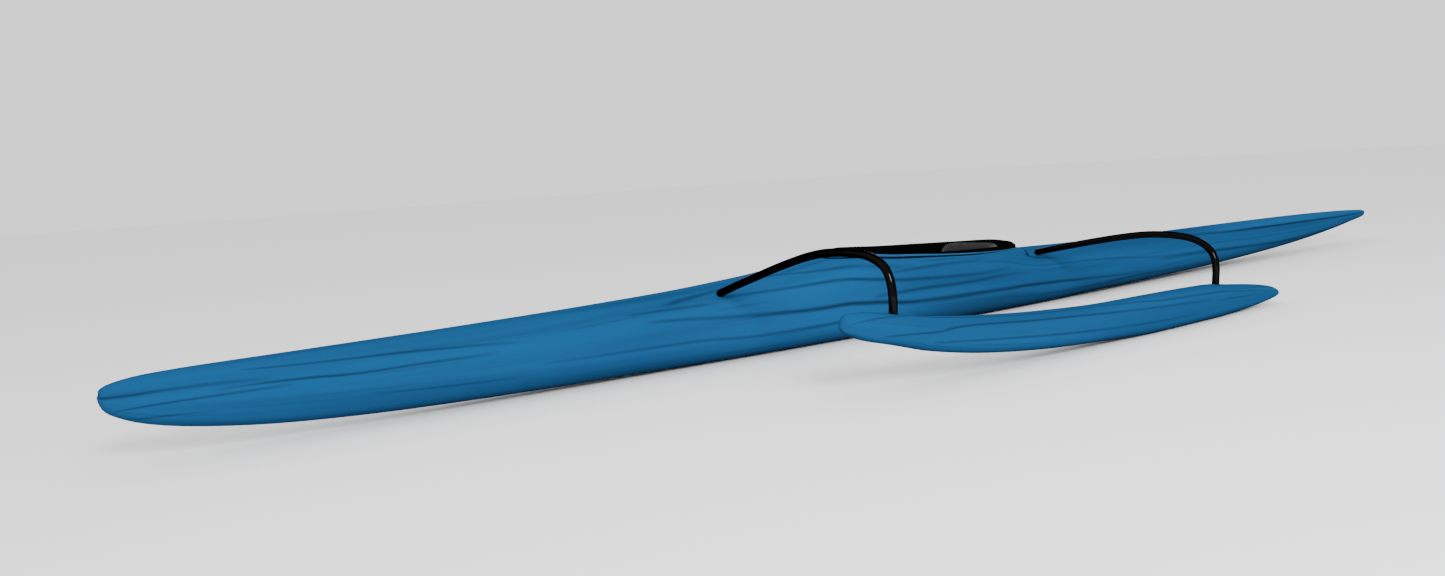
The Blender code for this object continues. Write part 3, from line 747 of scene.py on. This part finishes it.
def crease_shade(n, along):
    """Strength of the shade along the foot of the slope behind the cockpit."""
    lean = math.radians(LEAN_DEG)
    _, y, z = n.split(n.coordinates("Object"))
    across = n.math("MULTIPLY", n.math("SUBTRACT", y, SIDE_SHIFT), math.cos(lean))
    across = n.math("SUBTRACT", across, n.math("MULTIPLY", n.math("SUBTRACT", z, LIFT), math.sin(lean)))
    bend = n.math("MULTIPLY", n.math("MULTIPLY", across, across), SHADE_BEND)
    gap = n.math("SUBTRACT", along, n.math("SUBTRACT", SHADE_FOOT, bend))
    line = n.math("MULTIPLY", n.ramp(gap, *SHADE_START_RAMP), n.ramp(gap, *SHADE_END_RAMP))
    side = n.ramp(n.math("ABSOLUTE", across), *SHADE_SIDE_RAMP)
    high = n.ramp(z, *SHADE_HEIGHT_RAMP)
    return n.math("MULTIPLY", line, n.math("MULTIPLY", side, high))


def grain_noise(n, along, across, seed, grain):
    """Noise drawn out along the hull."""
    per_metre, per_girth, shift = grain
    long = n.math("MULTIPLY", along, per_metre)
    wide = n.math("MULTIPLY", across, per_girth)
    return n.noise(n.join(long, wide, seed + shift), 1.0, FINE_DETAIL)


def blue_grain(name, seed, across, body_rows, line_rows, foot_shade_rows, on_hull):
    """Blue with long dark grain streaks, painted shade on the foot and, on the hull, painted light on the stern's
    crown and in a band ahead of the cockpit, and painted shade in the crease behind the cockpit; the map runs along
    the hull in metres and around it from 0 to 2.
    """
    n = Nodes(name)
    first = body_rows[0][0]
    last = body_rows[-1][0]
    along, around, _ = n.split(n.coordinates("UV"))

    def reach(s):
        """Station as a share of the length that gives the ends more room."""
        return ((s - first) / (last - first)) ** SHARE_POWER

    linear = n.math("DIVIDE", n.math("SUBTRACT", along, first), last - first, clamp=True)
    share = n.math("POWER", linear, SHARE_POWER)
    wave = grain_noise(n, along, around, seed, WAVE_NOISE)
    swing = n.math("SUBTRACT", wave, NOISE_MIDDLE)
    waved = n.math("ADD", around, n.math("MULTIPLY", swing, WAVE_OF_NOISES))
    girth = n.math("MULTIPLY", waved, across)
    thin = grain_noise(n, along, girth, seed, THIN_NOISE)
    wide = grain_noise(n, along, girth, seed, WIDE_NOISE)
    fibre = grain_noise(n, along, girth, seed, FIBRE_NOISE)
    fold = n.math("ADD", n.math("PINGPONG", around, 1.0), n.math("MULTIPLY", swing, WAVE_OF_LINES))
    lines = n.math("MULTIPLY", grain_lines(n, share, fold, line_rows, reach), n.ramp(thin, *BREAK_RAMP))
    body = n.mix(n.ramp(wide, *TONE_RAMP), BLUE_LIGHT, BLUE_MID)
    if on_hull:
        # Painted light: lighter top of the stern's deck and a lighter band around the hull ahead of the cockpit
        crown = n.math("MULTIPLY", n.ramp(fold, *CROWN_LIGHT_SHARE_RAMP), n.ramp(along, *CROWN_LIGHT_STATION_RAMP))
        fore_light = n.math("MULTIPLY", n.ramp(along, *FORE_LIGHT_START_RAMP), n.ramp(along, *FORE_LIGHT_END_RAMP))
        body = n.mix(n.math("MAXIMUM", crown, fore_light), body, BLUE_PAINTED_LIGHT)
    body = n.mix(n.math("MULTIPLY", fibre, FIBRE_STRENGTH), body, BLUE_STREAK_AND_SHADE)
    body = n.mix(n.ramp(thin, *FINE_RAMP), body, BLUE_STREAK_AND_SHADE)
    body = n.mix(lines, body, BLUE_STREAK_AND_SHADE)
    # Painted shade on the lower part of hull and float, darker towards the keel
    strength = n.curve(share, [(reach(s), value) for s, value, _ in foot_shade_rows])
    height = n.curve(share, [(reach(s), top) for s, _, top in foot_shade_rows])
    level = n.math("DIVIDE", fold, height)
    body = n.mix(n.math("MULTIPLY", strength, n.ramp(level, *FOOT_SHADE_RAMP)), body, BLUE_STREAK_AND_SHADE)
    body = n.mix(n.math("MULTIPLY", strength, n.ramp(level, *FOOT_DEEP_SHADE_RAMP)), body, BLUE_SHADE)
    if on_hull:
        body = n.mix(n.math("MULTIPLY", crease_shade(n, along), SHADE_STRENGTH), body, BLUE_SHADE)
    n.bump(fibre, FIBRE_BUMP, FIBRE_DISTANCE)
    return n.finish(body, BLUE_ROUGHNESS, 0.0)


def worn_tone(n, dark, light, wear):
    """Colour that wanders between two tones, and a faint fine bump."""
    place = n.coordinates("Object")
    tone_scale, bump_scale, strength, distance = wear
    n.bump(n.noise(place, bump_scale, FINE_DETAIL), strength, distance)
    return n.mix(n.noise(place, tone_scale, TONE_DETAIL), dark, light)


def satin(name, colour, roughness, specular):
    """Plain satin surface with slight wear."""
    n = Nodes(name)
    lighter = tuple(SATIN_LIGHTER * value for value in colour)
    return n.finish(worn_tone(n, colour, lighter, SATIN_WEAR), roughness, specular)


def black_tube(name):
    """Satin black that mirrors only what it faces squarely, so its edges stay dark."""
    n = Nodes(name)
    material = n.finish(worn_tone(n, TUBE_DARK, TUBE_LIGHT, TUBE_WEAR), TUBE_ROUGHNESS, 0.0, metallic=1.0)
    n.shader.inputs["Specular Tint"].default_value = (0.0, 0.0, 0.0, 1.0)
    return material


def lower_half(s, inset, count):
    """From the keel to the widest line on the port side."""
    keel, wide, beam, power = [curve_value(HULL, column, s) for column in range(1, 5)]
    points = []
    for i in range(count + 1):
        angle = math.pi / 2.0 * i / count
        y = (beam - inset) * math.sin(angle) ** (2.0 / power)
        z = wide - (wide - keel - inset) * math.cos(angle) ** (2.0 / power)
        points.append((y, z))
    return points


def step_weight(s, y):
    """0 on the cockpit's fairing, 1 on the rear deck; the foot is a crease that fades out toward the sides."""
    foot = STEP_FOOT - STEP_BEND * y * y
    width = STEP_WIDTH + STEP_SPREAD * y * y
    t = limited((s - foot) / width + 1.0)
    faded = limited((abs(y) - CREASE_END) / CREASE_FADE + 1.0)
    return (1.0 - faded) * t * t + faded * smooth(t)


def dome(u, power):
    return max(0.0, 1.0 - u**power) ** (1.0 / power)


def deck_height(s, y, inset=0.0):
    """Height of the deck at a distance from the middle."""
    wide = curve_value(HULL, 2, s)
    beam = curve_value(HULL, 3, s) - inset
    u = min(abs(y) / beam, 1.0)
    weight = step_weight(s, y)
    height = 0.0
    for rows, part in ((DECK_FRONT, 1.0 - weight), (DECK_REAR, weight)):
        if part > 0.0:
            crown = curve_value(rows, 1, s) - wide - inset
            height += part * crown * dome(u, curve_value(rows, 2, s))
    return wide + height


def upper_half(s, inset, count):
    """From the widest line up to the crown on the port side."""
    beam = curve_value(HULL, 3, s) - inset
    weight = step_weight(s, POWER_SHARE * beam)
    front_power = curve_value(DECK_FRONT, 2, s)
    rear_power = curve_value(DECK_REAR, 2, s)
    power = (1.0 - weight) * front_power + weight * rear_power
    if s < DECK_REAR[0][0]:
        power = front_power
    if s > DECK_FRONT[-1][0]:
        power = rear_power
    points = []
    for i in range(count + 1):
        angle = math.pi / 2.0 * (1.0 - i / count)
        y = beam * math.sin(angle) ** (2.0 / power)
        points.append((y, deck_height(s, y, inset)))
    points[0] = (beam, curve_value(HULL, 2, s))
    points[-1] = (0.0, deck_height(s, 0.0, inset))
    return points


def full_ring(half):
    """Closed ring from a port half that runs from its lowest point to its highest."""
    return half + [(-y, z) for y, z in half[-2:0:-1]]


def girth_shares(ring):
    """Length around a ring from its first point to the middle one as 0 to 1, then on to 2 for the mirrored side."""
    half = len(ring) // 2
    lengths = [0.0]
    for i in range(half):
        lengths.append(lengths[-1] + math.dist(ring[i], ring[i + 1]))
    shares = [length / lengths[-1] for length in lengths]
    return shares + [2.0 - share for share in shares[-2::-1]]


def finished_mesh(name, work):
    """Mesh from the worked faces, all turned outward."""
    bmesh.ops.recalc_face_normals(work, faces=work.faces)
    mesh = bpy.data.meshes.new(name)
    work.to_mesh(mesh)
    work.free()
    return mesh


def loft(name, rings, slot=0, place=None):
    """Closed body through rings of equal count, with a map along and around it."""
    count = len(rings[0][1])
    shares = [girth_shares(ring) for _, ring in rings]
    work = bmesh.new()
    layer = work.loops.layers.uv.new("around")
    rows = []
    for s, ring in rings:
        rows.append([work.verts.new((forward(place(s, z) if place else s), y, z)) for y, z in ring])
    for i in range(len(rings) - 1):
        for j in range(count):
            k = (j + 1) % count
            face = work.faces.new((rows[i][j], rows[i + 1][j], rows[i + 1][k], rows[i][k]))
            face.material_index = slot
            for loop, (row, column) in zip(face.loops, ((i, j), (i + 1, j), (i + 1, j + 1), (i, j + 1))):
                loop[layer].uv = (rings[row][0], shares[row][column])
    for corners, s in ((rows[0], rings[0][0]), (rows[-1][::-1], rings[-1][0])):
        face = work.faces.new(corners)
        face.material_index = slot
        for loop in face.loops:
            loop[layer].uv = (s, 1.0)
    return finished_mesh(name, work)


def add_piece(name, mesh, place, materials):
    piece = bpy.data.objects.new(name, mesh)
    bpy.context.scene.collection.objects.link(piece)
    mesh.transform(place)
    for material in materials:
        mesh.materials.append(material)
    return piece


def apply_all(piece):
    """Bake the modifiers into the piece's own mesh."""
    bpy.context.view_layer.update()
    graph = bpy.context.evaluated_depsgraph_get()
    mesh = bpy.data.meshes.new_from_object(piece.evaluated_get(graph), preserve_all_data_layers=True, depsgraph=graph)
    piece.modifiers.clear()
    piece.data = mesh


def shade(piece, angle):
    """Smooth shading, apart from edges above the angle."""
    for face in piece.data.polygons:
        face.use_smooth = True
    piece.data.set_sharp_from_angle(angle=angle)


def subtract(piece, cutter):
    modifier = piece.modifiers.new("cut", "BOOLEAN")
    modifier.operation = "DIFFERENCE"
    modifier.solver = "EXACT"
    modifier.object = cutter


def opening_point(angle, offset=0.0):
    """Point on the cockpit's outline, moved outward by the offset; angle 0 points aft."""
    middle = (OPENING_FRONT + OPENING_REAR) / 2.0
    half = (OPENING_REAR - OPENING_FRONT) / 2.0
    aft = math.cos(angle)
    aside = math.sin(angle)
    s = middle + half * math.copysign(abs(aft) ** OPENING_ROUNDNESS, aft)
    y = OPENING_HALF_WIDTH * math.copysign(abs(aside) ** OPENING_ROUNDNESS, aside)
    if offset == 0.0:
        return s, y
    power = 2.0 / OPENING_ROUNDNESS
    slope_s = math.copysign(abs((s - middle) / half) ** (power - 1.0), s - middle) / half
    slope_y = math.copysign(abs(y / OPENING_HALF_WIDTH) ** (power - 1.0), y) / OPENING_HALF_WIDTH
    size = math.hypot(slope_s, slope_y)
    return s + offset * slope_s / size, y + offset * slope_y / size


def mouth_prism():
    """Upright prism on the cockpit's outline."""
    work = bmesh.new()
    circle = bmesh.ops.create_circle(work, cap_ends=True, radius=1.0, segments=MOUTH_SIDES)["verts"]
    for vertex in circle:
        s, y = opening_point(math.atan2(vertex.co.y, -vertex.co.x))
        vertex.co = Vector((forward(s), y, MOUTH_LOW))
    top = bmesh.ops.extrude_face_region(work, geom=work.faces[:])["geom"]
    for item in top:
        if isinstance(item, bmesh.types.BMVert):
            item.co.z = MOUTH_HIGH
    for face in work.faces:
        face.material_index = 1
    return finished_mesh("mouth", work)


def notch_rod():
    """Crosswise rod that leaves a shallow notch in the stem, just above the joint of hull and deck."""
    work = bmesh.new()
    bmesh.ops.create_cone(
        work, cap_ends=True, segments=NOTCH_SIDES, radius1=NOTCH_RADIUS, radius2=NOTCH_RADIUS, depth=NOTCH_LENGTH
    )
    turn = Matrix.Rotation(math.pi / 2.0, 4, "X")
    bmesh.ops.transform(work, matrix=Matrix.Translation((forward(NOTCH_S), 0.0, NOTCH_Z)) @ turn, verts=work.verts)
    return finished_mesh("notch_rod", work)


def nose_place(s, z):
    """Station of a point near the stem, where the deck stands a little behind the hull."""
    share = max(1.0 - s / NOSE_REACH, 0.0)
    step = limited((z - NOTCH_Z) / NOSE_STEP + 0.5)
    below = limited((NOTCH_Z - z) / NOSE_FULL_DEPTH)
    back = NOSE_BACK_HULL + (NOSE_BACK_DECK - NOSE_BACK_HULL) * step
    return s + share * share * back - share * below * NOSE_FULL


def float_nose_place(s, _):
    """Station of a point near the float's nose, which stands a little behind the solid's."""
    share = max(1.0 - (s - FLOAT[0][0]) / FLOAT_NOSE_REACH, 0.0)
    return s + share * share * FLOAT_NOSE_BACK


def hull_skin(blue, black):
    """Hull and deck in one moulding, hollow around the cockpit."""
    stations = list(STEM_STATIONS)
    for run in HULL_RUNS:
        stations += steps(*run)
    stations += STERN_STATIONS
    rings = []
    for s in stations:
        half = lower_half(s, 0.0, HULL_LOWER_SIDES) + upper_half(s, 0.0, HULL_UPPER_SIDES)[1:]
        rings.append((s, full_ring(half)))
    skin = add_piece("hull_skin", loft("hull_skin", rings, 0, nose_place), hull_to_rest(), (blue, black))
    rings = []
    for s in steps(CAVITY_FRONT, CAVITY_REAR, CAVITY_SPACING):
        half = lower_half(s, WALL, CAVITY_SIDES) + upper_half(s, WALL, CAVITY_SIDES)[1:]
        rings.append((s, full_ring([(y, max(z, FLOOR_Z)) for y, z in half])))
    cutters = []
    for name, mesh in (("cavity", loft("cavity", rings, 1)), ("mouth", mouth_prism()), ("notch", notch_rod())):
        cutters.append(add_piece(name, mesh, hull_to_rest(), (blue, black)))
        subtract(skin, cutters[-1])
    apply_all(skin)
    for cutter in cutters:
        bpy.data.objects.remove(cutter)
    shade(skin, SHARP_SKIN)
    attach(skin, "root")
    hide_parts(*[name for name in nodes if name.startswith(("hull_", "deck_"))])


def float_ring(s, count):
    bottom, top, half, power = [curve_value(FLOAT, column, s) for column in range(1, 5)]
    middle = (bottom + top) / 2.0
    points = []
    for i in range(2 * count + 1):
        angle = math.pi / 2.0 * i / count
        y = half * abs(math.sin(angle)) ** (2.0 / power)
        z = middle - (top - bottom) / 2.0 * math.copysign(abs(math.cos(angle)) ** (2.0 / power), math.cos(angle))
        points.append((y, z))
    return full_ring(points)


def float_skin(blue):
    first = FLOAT[0][0]
    last = FLOAT[-1][0]
    stations = [first + step for step in FLOAT_NOSE_STEPS]
    stations += steps(first + FLOAT_RUN_AFTER_NOSE, last - FLOAT_RUN_BEFORE_TAIL, FLOAT_SPACING)
    stations += [last - step for step in FLOAT_TAIL_STEPS]
    rings = [(s, float_ring(s, FLOAT_SIDES)) for s in stations]
    place = hull_to_rest() @ Matrix.Translation((0.0, FLOAT_DISTANCE, 0.0))
    skin = add_piece("float_skin", loft("float_skin", rings, 0, float_nose_place), place, (blue,))
    shade(skin, SHARP_SKIN)
    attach(skin, "root")
    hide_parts("float_body")


def tube_along(name, points, radii, cyclic, material, roundness):
    """Smooth tube through points in the hull's frame, with a radius at each."""
    curve = bpy.data.curves.new(name, "CURVE")
    curve.dimensions = "3D"
    curve.bevel_depth = 1.0
    curve.bevel_resolution = roundness
    curve.use_fill_caps = True
    curve.twist_mode = "Z_UP"
    spline = curve.splines.new("POLY")
    spline.points.add(len(points) - 1)
    spline.use_cyclic_u = cyclic
    for item, point, radius in zip(spline.points, points, radii):
        item.co = (*point, 1.0)
        item.radius = radius
    line = add_piece(name, curve, hull_to_rest(), ())
    bpy.context.view_layer.update()
    graph = bpy.context.evaluated_depsgraph_get()
    mesh = bpy.data.meshes.new_from_object(line.evaluated_get(graph), depsgraph=graph)
    bpy.data.objects.remove(line)
    mesh.materials.clear()
    added = add_piece(name, mesh, Matrix.Identity(4), (material,))
    for face in mesh.polygons:
        face.use_smooth = True
    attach(added, "root")


def lip_and_shadow(blue, black):
    """Rounded blue lip around the opening, and dark tubes between it and the deck that paint the shadow under the
    lip.
    """
    points = []
    radii = []
    for i in range(LIP_SIDES):
        angle = 2.0 * math.pi * i / LIP_SIDES
        edge_s = opening_point(angle)[0]
        radius = curve_value(LIP, 1, edge_s)
        s, y = opening_point(angle, LIP_OUTSET * radius)
        points.append((forward(s), y, deck_height(s, y) + curve_value(LIP, 2, edge_s)))
        radii.append(radius)
    tube_along("cockpit_lip", points, radii, True, blue, LIP_ROUNDNESS)
    # Dark tubes under the lip's sides: painted shadow in the gap between lip and deck
    for name, side in (("lip_shadow_port", 1.0), ("lip_shadow_starboard", -1.0)):
        points = []
        radii = []
        for i in range(LIP_SIDES + 1):
            angle = math.pi * i / LIP_SIDES
            edge_s = opening_point(angle)[0]
            radius = curve_value(LIP, 1, edge_s)
            lift = curve_value(LIP, 2, edge_s) - radius
            s, y = opening_point(angle, LIP_SHADOW_OUTSET * radius)
            if LIP_SHADOW_FRONT < s < LIP_SHADOW_REAR:
                fade = min(1.0, (LIP_SHADOW_REAR - s) / LIP_SHADOW_REAR_FADE, (s - LIP_SHADOW_FRONT) / LIP_SHADOW_FRONT_FADE)
                points.append((forward(s), side * y, deck_height(s, y) + LIP_SHADOW_LIFT + LIP_SHADOW_FOLLOW * lift))
                radii.append(max(LIP_SHADOW_THINNEST, LIP_SHADOW_RADIUS * fade))
        tube_along(name, points, radii, False, black, LIP_SHADOW_ROUNDNESS)


def edge_dip(s, y):
    """How much lower the upright edge is cut at the port side of its rear end."""
    behind = limited((s - DIP_START) / DIP_LENGTH)
    aside = limited(y / DIP_WIDTH)
    return DIP_DEPTH * smooth(behind) * smooth(aside)


def cockpit_edge(black):
    """Thin upright edge in the opening, with a rounded top."""
    # Inset, height over the deck or over the edge's top, and whether it is counted from the deck
    levels = (
        (0.0, -RIM_SKIRT, True),
        (0.0, -RIM_ROUND, False),
        (0.3 * RIM_WALL, 0.0, False),
        (0.7 * RIM_WALL, 0.0, False),
        (RIM_WALL, -RIM_ROUND, False),
        (RIM_WALL, -RIM_SKIRT, True),
    )
    work = bmesh.new()
    rows = []
    for inset, drop, low in levels:
        row = []
        for i in range(RIM_SIDES):
            s, y = opening_point(2.0 * math.pi * i / RIM_SIDES, -inset - RIM_CLEAR)
            z = deck_height(s, y) if low else curve_value(RIM_TOP, 1, s) - edge_dip(s, y)
            row.append(work.verts.new((forward(s), y, z + drop)))
        rows.append(row)
    for row, following in zip(rows, rows[1:] + rows[:1]):
        for i in range(RIM_SIDES):
            k = (i + 1) % RIM_SIDES
            work.faces.new((row[i], following[i], following[k], row[k]))
    edge = add_piece("cockpit_edge", finished_mesh("cockpit_edge", work), hull_to_rest(), (black,))
    shade(edge, SHARP_EDGE)
    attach(edge, "root")
    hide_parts("rim_fore", "rim_port", "rim_starboard", "rim_aft")


def seat_section(pan, top, half):
    """Port half of the seat's section."""
    rise = top - pan
    inner = half - SEAT_WALL
    points = [(half * share, FLOOR_Z + height) for share, height in SEAT_FOOT]
    points.append((half, top - rise * SEAT_TURN))
    points += [(half - inset, top + height) for inset, height in SEAT_TOP]
    points.append((inner, top - rise * SEAT_TURN))
    points += [(inner - inset, pan + rise * share) for inset, share in SEAT_HOLLOW]
    return points + [(inner * SEAT_FLAT, pan), (0.0, pan)]


def seat_shell(grey):
    """Bucket seat with rounded bolsters that run into its back."""
    rings = []
    for s in steps(SEAT[0][0], SEAT[-1][0], SEAT_SPACING):
        pan, top, half = [curve_value(SEAT, column, s) for column in range(1, 4)]
        rings.append((s, full_ring(seat_section(pan, top, half))))
    shell = add_piece("seat_shell", loft("seat_shell", rings), hull_to_rest(), (grey,))
    weld = shell.modifiers.new("weld", "WELD")
    weld.merge_threshold = SEAT_WELD
    fine = shell.modifiers.new("fine", "SUBSURF")
    fine.levels = 1
    fine.render_levels = 1
    apply_all(shell)
    shade(shell, SHARP_SEAT)
    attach(shell, "root")
    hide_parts("seat")


def pad_cushion(foam):
    """Crowned foam pad on the flat of the pan."""
    work = bmesh.new()
    bmesh.ops.create_grid(work, x_segments=PAD_SIDES, y_segments=PAD_SIDES, size=1.0)
    top = bmesh.ops.extrude_face_region(work, geom=work.faces[:])["geom"]
    upper = {item for item in top if isinstance(item, bmesh.types.BMVert)}
    for vertex in work.verts:
        u, v = vertex.co.x, vertex.co.y
        pull = 1.0 - PAD_PULL * (1.0 - u * u) * abs(v) ** 3 - PAD_PULL * (1.0 - v * v) * abs(u) ** 3
        crown = (1.0 - u**4) * (1.0 - v**4)
        height = PAD_EDGE + PAD_CROWN * crown**0.5 if vertex in upper else 0.0
        vertex.co = Vector((PAD_HALF_LENGTH * u * pull, PAD_HALF_WIDTH * v * pull, height))
    low = max(curve_value(SEAT, 1, s) for s in PAD_STATIONS) + PAD_CLEAR
    place = hull_to_rest() @ Matrix.Translation((forward(PAD_MIDDLE), 0.0, low))
    pad = add_piece("pad_cushion", finished_mesh("pad_cushion", work), place, (foam,))
    rounded = pad.modifiers.new("rounded", "BEVEL")
    rounded.width = PAD_BEVEL
    rounded.segments = 2
    rounded.limit_method = "ANGLE"
    apply_all(pad)
    shade(pad, SHARP_PAD)
    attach(pad, "root")
    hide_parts("seat_pad")


def dress(name, material):
    """Give a node a material and smooth shading over its facets."""
    body = nodes[name]
    body.data.materials.clear()
    body.data.materials.append(material)
    weld = body.modifiers.new("weld", "WELD")
    weld.merge_threshold = NODE_WELD
    shade(body, SHARP_SKIN)


def add_floor():
    bpy.ops.mesh.primitive_plane_add(size=GROUND_SIZE, location=(0.0, 0.0, GROUND_Z))
    floor = bpy.context.object
    floor.name = "studio_floor"
    floor.data.materials.append(Nodes("studio_floor").finish(GROUND_COLOUR, GROUND_ROUGHNESS, 0.0))


def add_key_light():
    data = bpy.data.lights.new("key", "AREA")
    data.shape = "SQUARE"
    data.size = KEY_SIZE
    data.energy = KEY_POWER
    light = bpy.data.objects.new("key", data)
    bpy.context.scene.collection.objects.link(light)
    light.location = KEY_PLACE
    aim = Vector(KEY_TARGET) - Vector(KEY_PLACE)
    light.rotation_euler = aim.to_track_quat("-Z", "Y").to_euler()


def add_world():
    world = bpy.data.worlds.new("studio")
    world.use_nodes = True
    background = world.node_tree.nodes["Background"]
    background.inputs["Color"].default_value = (1.0, 1.0, 1.0, 1.0)
    background.inputs["Strength"].default_value = WORLD_STRENGTH
    bpy.context.scene.world = world


add_camera()
add_floor()
add_world()
add_key_light()

hull_blue = blue_grain("hull_blue", HULL_SEED, HULL_ACROSS, HULL, HULL_GRAIN, HULL_FOOT_SHADE, on_hull=True)
float_blue = blue_grain("float_blue", FLOAT_SEED, FLOAT_ACROSS, FLOAT, FLOAT_GRAIN, FLOAT_FOOT_SHADE, on_hull=False)
lip_blue = satin("lip_blue", *LIP_LOOK)
inner_black = satin("inner_black", *INNER_LOOK)
edge_black = satin("edge_black", *EDGE_LOOK)
hull_skin(hull_blue, inner_black)
float_skin(float_blue)
lip_and_shadow(lip_blue, inner_black)
cockpit_edge(edge_black)
seat_shell(satin("seat_grey", *SEAT_LOOK))
pad_cushion(satin("pad_foam", *FOAM_LOOK))
for name in ("arm_front", "arm_rear"):
    dress(name, black_tube(name + "_satin"))
dress("foot_brace", satin("brace_plastic", *BRACE_LOOK))
for name in ("brace_rail_port", "brace_rail_starboard"):
    dress(name, satin(name + "_metal", *RAIL_LOOK))
